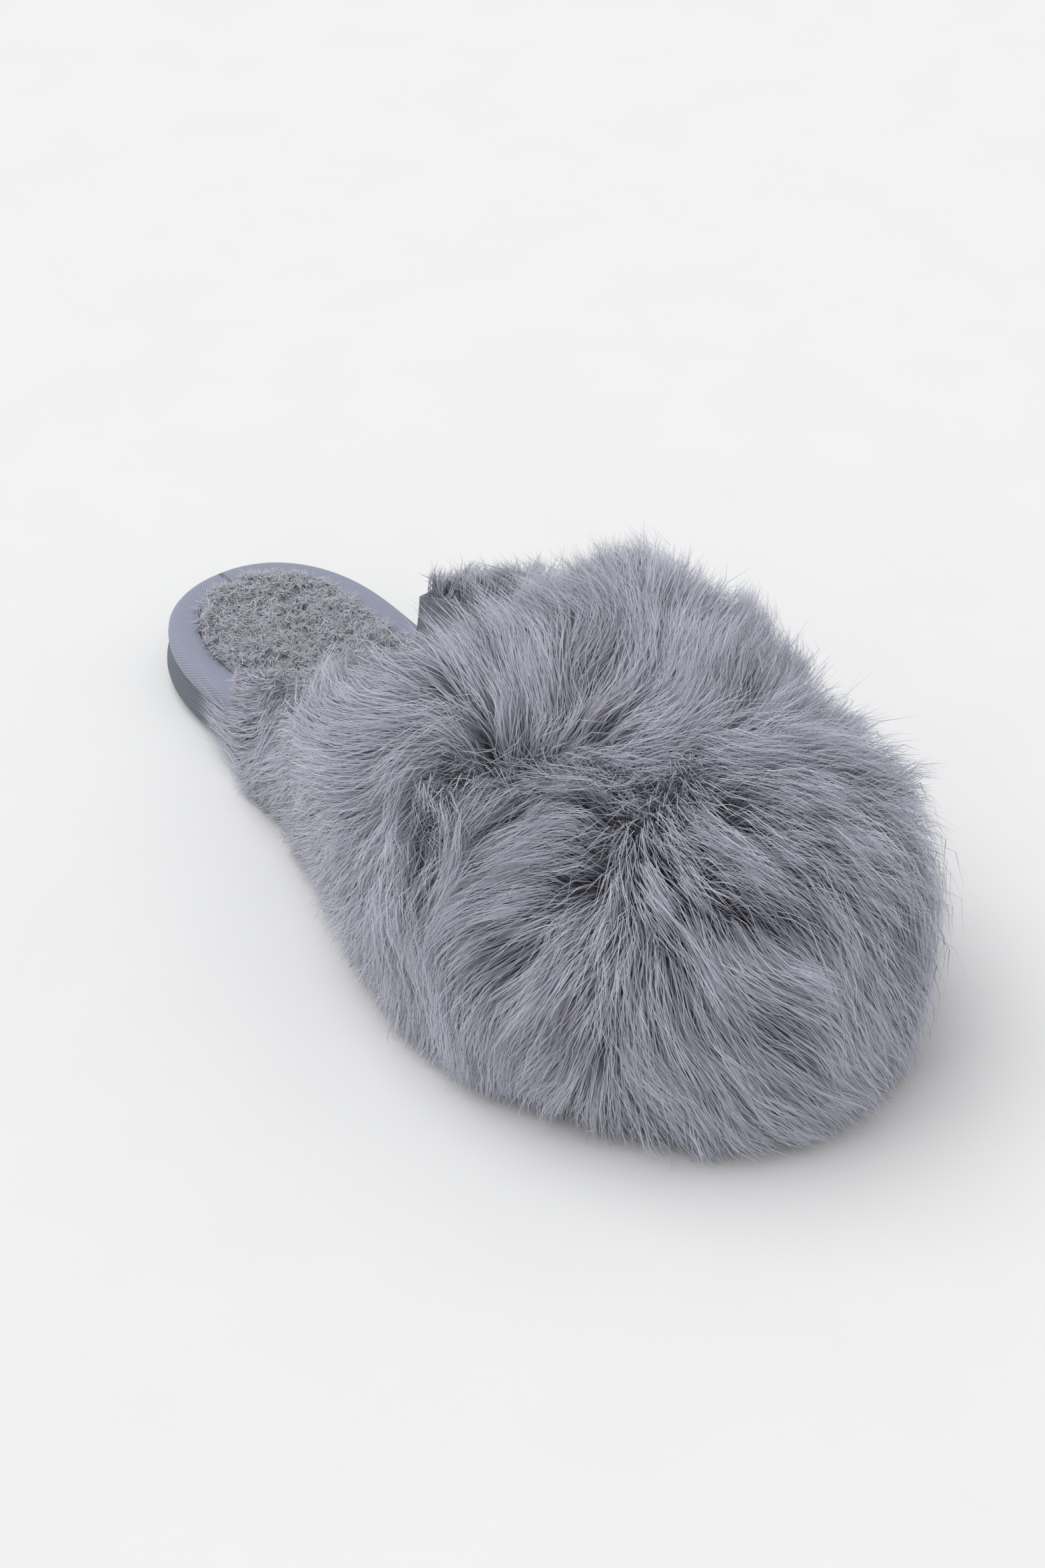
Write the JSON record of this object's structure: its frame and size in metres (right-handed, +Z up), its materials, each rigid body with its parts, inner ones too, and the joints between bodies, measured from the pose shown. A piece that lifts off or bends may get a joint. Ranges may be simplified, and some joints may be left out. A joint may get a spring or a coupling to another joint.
{
  "type": "fluffy slipper",
  "caption": "Closed-toe slip-on slipper for the right foot: flat foam sole, plush footbed with a cloth edge tape and a hollow vamp covered in long faux fur.",
  "frame": {"origin": "on the floor under the middle of the sole's length, on the sole's centre line", "axes": "+Z up, +Y from the heel to the toe, +X to the outer side of the right foot"},
  "size_m": [0.1448, 0.2698, 0.0923],
  "materials": {
    "outsole": "matt slate-grey foam rubber with a fine diagonal rib on its side",
    "plush": "short curly grey plush",
    "edge_tape": "satin-faced twill tape, lighter slate grey",
    "lining": "plain grey knit lining",
    "fur": "long soft faux fur in greys, darker at the roots"
  },
  "bodies": {
    "root": {"outsole": "outsole", "footbed": "plush", "edge_tape": "edge_tape", "upper": "lining", "fur_pile": "fur"}
  },
  "joints": []
}
